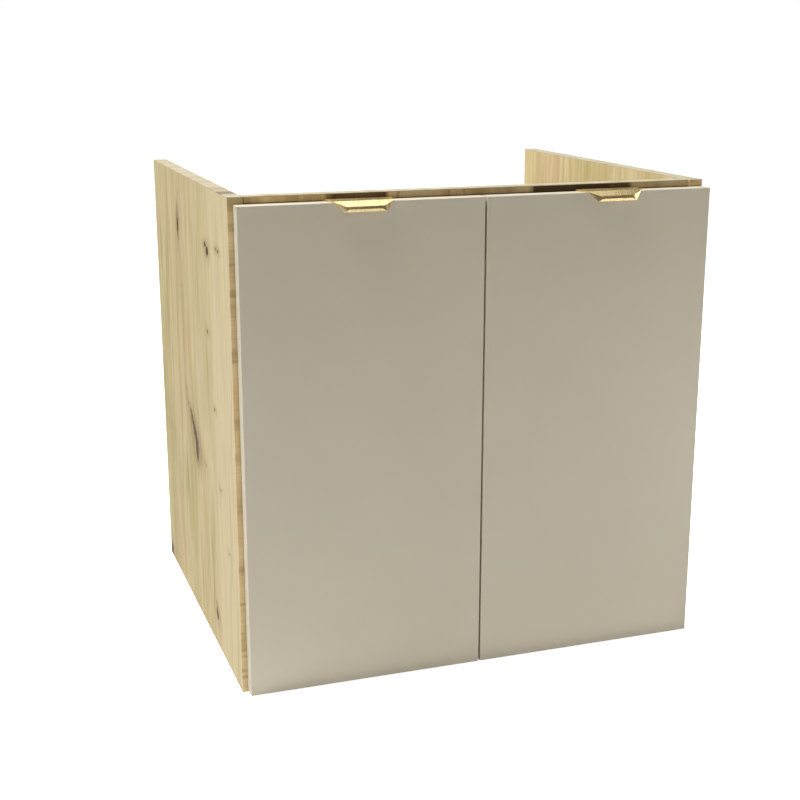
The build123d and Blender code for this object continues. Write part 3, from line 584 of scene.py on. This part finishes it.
band_light = (0.77, 0.60, 0.32)
band_tan = (0.70, 0.53, 0.27)
band_umber = (0.52, 0.385, 0.175)
band_bars = 0.45                # strength of the dark bars between the segments
band_colours = (band_light, band_tan, band_umber, band_bars)
# painted light: brighter copies of the front band colours for the right side, standing in for stronger
# light from the right
right_band_light = (0.82, 0.63, 0.34)
right_band_tan = (0.75, 0.57, 0.29)
right_band_umber = (0.60, 0.44, 0.20)
right_band_painted_light = (right_band_light, right_band_tan, right_band_umber, band_bars)
top_light = (0.50, 0.45, 0.325)
top_cream = (0.47, 0.415, 0.29)
top_honey = (0.42, 0.35, 0.225)
top_bars = 0.22
top_colours = (top_light, top_cream, top_honey, top_bars)
# painted light: brighter copies of the top band colours for the right side and the rail's top band,
# standing in for stronger light from the right
right_top_light = (0.535, 0.485, 0.355)
right_top_cream = (0.505, 0.45, 0.315)
right_top_honey = (0.45, 0.38, 0.245)
right_top_painted_light = (right_top_light, right_top_cream, right_top_honey, top_bars)
oak_band("side_front_band_left", "Z", "X", band_colours, seed=1.0)
oak_band("side_front_band_right", "Z", "X", right_band_painted_light, seed=5.0)
oak_band("floor_front_band", "X", "Z", band_colours, seed=8.0)
oak_band("side_top_band_left", "Y", "X", top_colours, seed=3.0, zones=top_streaks)
oak_band("side_top_band_right", "Y", "X", right_top_painted_light, seed=6.0)
oak_band("front_rail_top_band", "X", "Y", right_top_painted_light, seed=9.0)

# ---------------------------------------------------------------- matt doors
cashmere_low = (0.592, 0.533, 0.413)
cashmere_high = (0.608, 0.547, 0.427)
# painted light: the door edges drawn paler than the faces, for the light that falls on them
cashmere_lit_edge = (0.63, 0.572, 0.452)
fibreboard = (0.42, 0.29, 0.17)


def matt_door(side):
    """Soft-touch film on a fibreboard slab: even colour, faint mottle, very fine grain."""
    f = Finish(f"cashmere_matt_{side}", Specular_IOR_Level=0.4)
    mottle = f.noise(f.place, 2.0, scale=9.0)
    grain = f.noise(f.place, 2.0, scale=2200.0)
    film = f.two_tone(mottle, cashmere_low, cashmere_high)
    node = f"door_panel_{side}"
    face = on_film(f, node, "Y")
    f.colour(f.mix(face, fibreboard, film))
    f.rough(f.spread(mottle, 0.46, 0.52))
    f.bump(grain, door_relief, 0.5)
    dress(cad[node], f.material)


def door_band():
    """Edge band of the doors: a shade paler than their faces as painted light on the edges, and a little
    glossier.
    """
    f = Finish("cashmere_band", Specular_IOR_Level=0.45, Roughness=0.42)
    grain = f.noise(f.place, 2.0, scale=1600.0)
    f.colour(f.two_tone(grain, cashmere_high, cashmere_lit_edge))
    f.bump(grain, polish_relief, 0.5)
    return f.material


band_finish = door_band()
for side in sides:
    matt_door(side)
    dress(cad[f"door_edge_bands_{side}"], band_finish)

# ---------------------------------------------------------------- metals and small parts
gold_low = (0.70, 0.525, 0.24)
gold_high = (0.85, 0.68, 0.365)
brush_lines = (2600.0, 60.0, 60.0)  # cells per metre along each axis
brush_bands = (420.0, 20.0, 20.0)
beech_low = (0.52, 0.36, 0.20)
beech_high = (0.70, 0.53, 0.34)
beech_flutes = (30.0, 900.0, 900.0)
nickel_tint = (0.66, 0.64, 0.60)
zinc_tint = (0.62, 0.64, 0.66)
cast_tint = (0.50, 0.50, 0.49)
pad_low = (0.80, 0.80, 0.77)
pad_high = (0.88, 0.88, 0.86)


def brushed_gold():
    """Anodised gold with fine brush lines that run over the pull from back to front."""
    f = Finish("brushed_gold", Metallic=0.82, Anisotropic=0.35)
    lines = f.noise(f.stretched(brush_lines), 3.0)
    bands = f.noise(f.stretched(brush_bands), 2.0)
    tone = f.two_tone(bands, gold_low, gold_high)
    f.colour(f.shade(tone, f.spread(lines, 0.88, 1.08)))
    f.rough(f.spread(lines, 0.24, 0.38))
    f.bump(lines, polish_relief, 0.6)
    return f.material


def plated_metal(name, tint, roughness, grain_scale):
    """Plated steel or zinc with a faint rolled or cast grain."""
    f = Finish(name, Metallic=1.0)
    grain = f.noise(f.place, 3.0, scale=grain_scale)
    cloud = f.noise(f.place, 2.0, scale=60.0)
    dull, bright = (tuple(share * c for c in tint) for share in (0.92, 1.04))
    f.colour(f.two_tone(cloud, dull, bright))
    f.rough(f.spread(cloud, *roughness))
    f.bump(grain, polish_relief, 0.35)
    return f.material


def beech_peg():
    """Fluted beech, with the grain along a dowel's length."""
    f = Finish("beech_dowel", Specular_IOR_Level=0.3)
    flutes = f.noise(f.stretched(beech_flutes), 2.0)
    f.colour(f.two_tone(flutes, beech_low, beech_high))
    f.rough(0.6)
    f.bump(flutes, flute_relief, 0.6)
    return f.material


def soft_pad():
    """Clear soft plastic of the door bumpers."""
    f = Finish("clear_soft_pad", Transmission_Weight=0.55, IOR=1.42, Specular_IOR_Level=0.5)
    cloud = f.noise(f.place, 2.0, scale=900.0)
    f.colour(f.two_tone(cloud, pad_low, pad_high))
    f.rough(f.spread(cloud, 0.25, 0.4))
    return f.material


gold = brushed_gold()
hinge_nickel = plated_metal("hinge_nickel", nickel_tint, roughness=(0.20, 0.30), grain_scale=700.0)
zinc_screw = plated_metal("zinc_screw", zinc_tint, roughness=(0.28, 0.38), grain_scale=1200.0)
cast_zinc = plated_metal("cast_zinc", cast_tint, roughness=(0.36, 0.50), grain_scale=1800.0)
beech = beech_peg()
clear_pad = soft_pad()


def softened(node, name, break_width, segments=2):
    """A CAD node's form with its sharp edges broken, as a piece of its own."""
    mesh = cad[node].data.copy()
    mesh.name = name
    piece = bpy.data.objects.new(name, mesh)
    bpy.context.scene.collection.objects.link(piece)
    form = bmesh.new()
    form.from_mesh(mesh)
    bmesh.ops.remove_doubles(form, verts=form.verts, dist=merge_distance)
    bmesh.ops.dissolve_limit(form, angle_limit=flat_joint, verts=form.verts, edges=form.edges)
    form.to_mesh(mesh)
    form.free()
    if "custom_normal" in mesh.attributes:
        mesh.attributes.remove(mesh.attributes["custom_normal"])
    mesh.shade_smooth()
    bevel = piece.modifiers.new("broken_edges", "BEVEL")
    bevel.width = break_width
    bevel.segments = segments
    bevel.limit_method = "ANGLE"
    bevel.angle_limit = crisp_edge
    bevel.harden_normals = True
    return plain(piece)


def plain(piece):
    """The piece with its modifiers applied."""
    bpy.context.view_layer.update()
    evaluated = piece.evaluated_get(bpy.context.evaluated_depsgraph_get())
    mesh = bpy.data.meshes.new_from_object(evaluated)
    piece.modifiers.clear()
    piece.data = mesh
    return piece


def fitted(piece, body, material, slot, *nodes):
    """A dressed piece on its body, in the place of CAD nodes."""
    dress(piece, material)
    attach(piece, body)
    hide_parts(*nodes)


# A screw's sheet of points, and the shares of the way from its tip to the middle of its crown.
sheet_around = 29
sheet_along = 51
tip_end = 0.06
thread_begins = (0.04, 0.08)
thread_ends = (0.62, 0.68)
shank_end = 0.70
seat_end = 0.76
side_end = 0.86
crown_end = 0.94


def screw_maker():
    """Geometry tree that sets a turned, threaded cross-head screw on every point of a mesh."""
    tree = bpy.data.node_groups.new("cross_head_screws", "GeometryNodeTree")
    face = tree.interface
    face.new_socket("Points", in_out="INPUT", socket_type="NodeSocketGeometry")
    for name in screw_sizes:
        face.new_socket(name, in_out="INPUT", socket_type="NodeSocketFloat")
    face.new_socket("Axis Turn", in_out="INPUT", socket_type="NodeSocketVector")
    face.new_socket("Twist Seed", in_out="INPUT", socket_type="NodeSocketInt")
    face.new_socket("Finish", in_out="INPUT", socket_type="NodeSocketMaterial")
    face.new_socket("Screws", in_out="OUTPUT", socket_type="NodeSocketGeometry")
    g = Graph(tree)
    size = g.add("NodeGroupInput").outputs

    # A sheet of points is rolled up round the axis: X gives the turn, Y the way from tip to crown.
    counts = {"Size X": 1.0, "Size Y": 1.0, "Vertices X": sheet_around, "Vertices Y": sheet_along}
    sheet = g.add("GeometryNodeMeshGrid", counts)
    spot = g.add("ShaderNodeSeparateXYZ", {"Vector": g.add("GeometryNodeInputPosition").outputs[0]}).outputs
    turn = g.math("ADD", spot[0], 0.5)
    way = g.math("ADD", spot[1], 0.5)

    def stretch(start, end, low, high):
        return g.remap(way, start, end, low, high)

    def step(start, end, first, last):
        return stretch(start, end, 0.0, g.math("SUBTRACT", last, first))

    core = g.math("SUBTRACT", size["Shank Radius"], size["Thread Depth"])
    depth = stretch(0.0, shank_end, g.math("MULTIPLY", size["Shank Length"], -1.0), 0.0)
    phase = g.math("FRACT", g.math("SUBTRACT", g.math("DIVIDE", depth, size["Thread Pitch"]), turn))
    ridge = g.math("SUBTRACT", 1.0, g.math("ABSOLUTE", g.math("MULTIPLY_ADD", phase, 2.0, -1.0)))
    threaded = g.math("MULTIPLY", stretch(*thread_begins, 0.0, 1.0), stretch(*thread_ends, 1.0, 0.0))
    radius = g.math("MULTIPLY_ADD", g.math("MULTIPLY", ridge, threaded), size["Thread Depth"], core)
    radius = g.math("MULTIPLY", radius, stretch(0.0, tip_end, 0.0, 1.0))
    radius = g.math("ADD", radius, step(shank_end, seat_end, core, size["Seat Radius"]))
    radius = g.math("ADD", radius, step(seat_end, side_end, size["Seat Radius"], size["Head Radius"]))
    radius = g.math("ADD", radius, step(side_end, crown_end, size["Head Radius"], size["Crown Radius"]))
    radius = g.math("ADD", radius, step(crown_end, 1.0, size["Crown Radius"], 0.0))
    height = g.math("ADD", depth, stretch(seat_end, side_end, 0.0, size["Rim Height"]))
    height = g.math("ADD", height, step(side_end, crown_end, size["Rim Height"], size["Head Height"]))
    angle = g.math("MULTIPLY", turn, math.tau)
    x = g.math("MULTIPLY", radius, g.math("COSINE", angle))
    y = g.math("MULTIPLY", radius, g.math("SINE", angle))
    outline = {"Geometry": sheet.outputs[0], "Position": g.vector(x, y, height)}
    rolled = g.add("GeometryNodeSetPosition", outline)
    seam = {"Geometry": rolled.outputs[0], "Distance": merge_distance}
    closed = g.add("GeometryNodeMergeByDistance", seam)

    reach = g.math("MULTIPLY", size["Recess Reach"], 2.0)
    width = g.math("MULTIPLY", size["Recess Half Width"], 2.0)
    deep = g.math("MULTIPLY", size["Recess Depth"], 2.0)
    lift = g.vector(0.0, 0.0, size["Head Height"])
    cut = g.add("GeometryNodeMeshBoolean", operation="DIFFERENCE", solver="EXACT")
    g.feed(cut.inputs["Mesh 1"], closed.outputs[0])
    for long, short in ((reach, width), (width, reach)):
        bar = g.add("GeometryNodeMeshCube", {"Size": g.vector(long, short, deep)})
        bar = g.add("GeometryNodeTransform", {"Geometry": bar.outputs[0], "Translation": lift})
        g.feed(cut.inputs["Mesh 2"], bar.outputs[0])

    twist = g.add("FunctionNodeRandomValue", {"Seed": size["Twist Seed"]}, data_type="FLOAT")
    twist.inputs[3].default_value = math.pi / 2  # a cross looks the same after a quarter turn
    spin = g.vector(0.0, 0.0, twist.outputs[1])
    copies = {"Points": size["Points"], "Instance": cut.outputs[0], "Rotation": spin}
    screws = g.add("GeometryNodeInstanceOnPoints", copies)
    real = g.add("GeometryNodeRealizeInstances", {"Geometry": screws.outputs[0]})
    placed = g.add("GeometryNodeTransform", {"Geometry": real.outputs[0], "Rotation": size["Axis Turn"]})
    smooth = g.add("GeometryNodeSetShadeSmooth", {"Geometry": placed.outputs[0], "Shade Smooth": True})
    bend = g.add("GeometryNodeInputMeshEdgeAngle").outputs[0]
    sharp = g.add("FunctionNodeCompare", {"A": bend, "B": crisp_edge}, operation="GREATER_THAN")
    crisp = g.add(
        "GeometryNodeSetShadeSmooth",
        {"Geometry": smooth.outputs[0], "Selection": sharp.outputs[0], "Shade Smooth": False},
        domain="EDGE",
    )
    dressed = g.add("GeometryNodeSetMaterial", {"Geometry": crisp.outputs[0], "Material": size["Finish"]})
    g.add("NodeGroupOutput", {"Screws": dressed.outputs[0]})
    return tree


screw_sizes = (
    "Shank Radius", "Shank Length", "Thread Depth", "Thread Pitch", "Seat Radius", "Head Radius",
    "Crown Radius", "Rim Height", "Head Height", "Recess Reach", "Recess Half Width", "Recess Depth",
)
screw_tree = screw_maker()


def lone_solids(node):
    """Lowest and highest corners of every loose solid in a CAD node."""
    form = bmesh.new()
    form.from_mesh(cad[node].data)
    bmesh.ops.remove_doubles(form, verts=form.verts, dist=merge_distance)
    seen, boxes = set(), []
    for start in form.verts:
        if start in seen:
            continue
        seen.add(start)
        reached, front = [start], [start]
        while front:
            vert = front.pop()
            for edge in vert.link_edges:
                other = edge.other_vert(vert)
                if other not in seen:
                    seen.add(other)
                    reached.append(other)
                    front.append(other)
        spans = [[v.co[i] for v in reached] for i in range(3)]
        boxes.append((Vector(map(min, spans)), Vector(map(max, spans))))
    form.free()
    return boxes


# Crown radius and rim height of a head, as shares of its radius and height.
pan_head = (0.80, 0.55)
flat_head = (0.97, 0.94)


def cross_head_screws(node, name, body, outwards, shank_radius, head_height, countersunk=False, seed=1):
    """Screws in the place of a CAD node's plain ones, with threads, eased heads and cross recesses."""
    crown_share, rim_share = flat_head if countersunk else pan_head
    outwards = Vector(outwards)
    along = max(range(3), key=lambda i: abs(outwards[i]))
    turn = outwards.to_track_quat("Z", "Y").to_euler()
    back = turn.to_matrix().inverted()
    seats = []
    for low, high in lone_solids(node):
        seat = (low + high) / 2
        seat[along] = (high if outwards[along] > 0 else low)[along]
        seats.append(back @ (seat - outwards * head_height))
        length = (high - low)[along] - head_height
        head_radius = (high - low)[(along + 1) % 3] / 2
    mesh = bpy.data.meshes.new(name)
    mesh.from_pydata(seats, [], [])
    piece = bpy.data.objects.new(name, mesh)
    bpy.context.scene.collection.objects.link(piece)
    values = {
        "Shank Radius": shank_radius, "Shank Length": length, "Thread Depth": thread_depth,
        "Thread Pitch": thread_pitch, "Seat Radius": shank_radius if countersunk else head_radius,
        "Head Radius": head_radius, "Crown Radius": head_radius * crown_share,
        "Rim Height": head_height * rim_share, "Head Height": head_height,
        "Recess Reach": recess_reach, "Recess Half Width": recess_half_width,
        "Recess Depth": recess_depth, "Axis Turn": tuple(turn), "Twist Seed": seed,
        "Finish": zinc_screw,
    }
    modifier = piece.modifiers.new("screws", "NODES")
    modifier.node_group = screw_tree
    for item in screw_tree.interface.items_tree:
        if item.in_out == "INPUT" and item.name in values:
            modifier[item.identifier] = values[item.name]
    fitted(plain(piece), body, zinc_screw, "screw_steel", node)


for side in sides:
    pull = softened(f"edge_pull_{side}", f"gold_pull_{side}", pull_break, 3)
    fitted(pull, f"door_{side}", gold, "brushed_gold", f"edge_pull_{side}")
    pads = softened(f"door_bumpers_{side}", f"soft_pads_{side}", bumper_dome, 4)
    fitted(pads, f"door_{side}", clear_pad, "clear_soft_pad", f"door_bumpers_{side}")
    for height in heights:
        hinge = f"hinge_{side}_{height}"
        bodies = {
            "cup": f"door_{side}", "cup_pins": f"door_{side}", "outer_link": f"outer_links_{side}",
            "inner_link": f"inner_links_{side}", "arm": "carcass", "arm_pins": "carcass",
            "plate": "carcass",
        }
        for part, body in bodies.items():
            piece = softened(f"{hinge}_{part}", f"{part}_{side}_{height}", metal_break)
            fitted(piece, body, hinge_nickel, "hinge_nickel", f"{hinge}_{part}")
    inwards = (1.0, 0.0, 0.0) if side == "left" else (-1.0, 0.0, 0.0)
    backwards = (0.0, 1.0, 0.0)
    hinge = f"hinge_{side}"
    cross_head_screws(
        f"{hinge}_plate_screws", f"plate_screws_{side}", "carcass", inwards,
        plate_screw_shank, pan_head_height, seed=3,
    )
    cross_head_screws(
        f"{hinge}_adjusting_screws", f"adjusters_{side}", "carcass", inwards,
        adjuster_shank, adjuster_head_height, seed=5,
    )
    cross_head_screws(
        f"{hinge}_cup_screws", f"cup_screws_{side}", f"door_{side}", backwards,
        cup_screw_shank, cup_head_height, seed=7,
    )
    cross_head_screws(
        f"pull_screws_{side}", f"strap_screws_{side}", f"door_{side}", backwards,
        pull_screw_shank, countersunk_height, countersunk=True, seed=9,
    )
dress(cad["connecting_bolts"], zinc_screw)
dress(cad["cam_locks"], cast_zinc)
dress(cad["wood_dowels"], beech)

# ---------------------------------------------------------------- stage, light and camera
scene = bpy.context.scene
scene.view_settings.view_transform = "Standard"
scene.view_settings.look = "None"


def pale_floor():
    """A wide plain floor that bounces the light, seen as white."""
    reach = 30.0
    mesh = bpy.data.meshes.new("pale_floor")
    corners = [(-reach, -reach, 0), (reach, -reach, 0), (reach, reach, 0), (-reach, reach, 0)]
    mesh.from_pydata(corners, [], [(0, 1, 2, 3)])
    floor = bpy.data.objects.new("pale_floor", mesh)
    scene.collection.objects.link(floor)
    f = Finish("pale_floor", Specular_IOR_Level=0.1, Roughness=0.8)
    f.shader.inputs["Base Color"].default_value = (*floor_tone, 1.0)
    f.shader.inputs["Emission Color"].default_value = (1.0, 1.0, 1.0, 1.0)
    seen = f.add("ShaderNodeLightPath").outputs["Is Camera Ray"]
    f.feed(f.shader.inputs["Emission Strength"], f.math("MULTIPLY", seen, floor_seen_glow))
    dress(floor, f.material)


def soft_light(name, location, size, power, aim=(0.0, -0.05, 0.3)):
    """A round soft lamp of a size in metres and a power in watts, turned to a point."""
    data = bpy.data.lights.new(name, "AREA")
    data.shape = "DISK"
    data.size = size
    data.energy = power
    lamp = bpy.data.objects.new(name, data)
    lamp.visible_camera = False
    lamp.location = location
    lamp.rotation_euler = (Vector(aim) - Vector(location)).to_track_quat("-Z", "Y").to_euler()
    scene.collection.objects.link(lamp)
    return lamp


def foot_strip(y, height, width, depth, power):
    """A narrow glow on the floor just ahead of the doors, where a pale floor lights them most."""
    strip = soft_light("foot_strip", (0.0, y, height), width, power)
    strip.data.shape = "RECTANGLE"
    strip.data.size_y = depth
    strip.rotation_euler = (math.pi, 0.0, 0.0)


def studio_sky(strength):
    """Even pale surroundings, seen as white behind the cabinet."""
    world = bpy.data.worlds.new("studio")
    scene.world = world
    world.use_nodes = True
    g = Graph(world.node_tree)
    g.tree.nodes.clear()
    seen = g.add("ShaderNodeLightPath").outputs["Is Camera Ray"]
    level = g.remap(seen, 0.0, 1.0, strength, 1.0)
    sky = g.add("ShaderNodeBackground", {"Color": (1.0, 1.0, 1.0, 1.0), "Strength": level})
    g.add("ShaderNodeOutputWorld", {"Surface": sky.outputs[0]})


sky_strength = 0.01
floor_tone = (0.93, 0.93, 0.925)
floor_seen_glow = 1.0           # lifts the floor to white for the camera only
pale_floor()
studio_sky(sky_strength)
# Lamps are (name, place, size in metres, power in watts, point they are turned to).
lamps = [
    ("overhead", (0.22, 0.30, 3.2), 2.6, 36.5, (0.25, 0.25, 0.0)),
    ("high_left", (-1.4, 0.1, 3.2), 2.0, 140.0, (0.0, 0.0, 0.2)),
    ("front_left_box", (-1.28, -2.76, 1.86), 1.5, 5.6, (-0.15, -0.28, 0.4)),
    ("right_box", (2.54, -0.91, 1.15), 0.8, 9.8, (0.1, -0.28, 0.4)),
    ("low_left", (-0.9, -0.8, 0.08), 0.4, 0.8, (0.0, -0.25, 0.1)),
    ("low_right", (0.9, -0.8, 0.08), 0.4, 2.2, (0.0, -0.25, 0.1)),
]
for lamp in lamps:
    soft_light(*lamp)
foot_strip(y=-0.315, height=0.003, width=0.62, depth=0.06, power=0.052)

camera_sensor = 36.0            # sensor and lens in millimetres
camera_lens = 61.485
camera_place = (-0.61372, -1.74246, 0.77428)
camera_tilt = math.radians(75.0)
camera_turn = math.radians(-19.063)
camera_data = bpy.data.cameras.new("camera")
camera_data.sensor_width = camera_sensor
camera_data.lens = camera_lens
camera = bpy.data.objects.new("camera", camera_data)
camera.location = camera_place
camera.rotation_euler = (camera_tilt, 0.0, camera_turn)
scene.collection.objects.link(camera)
scene.camera = camera
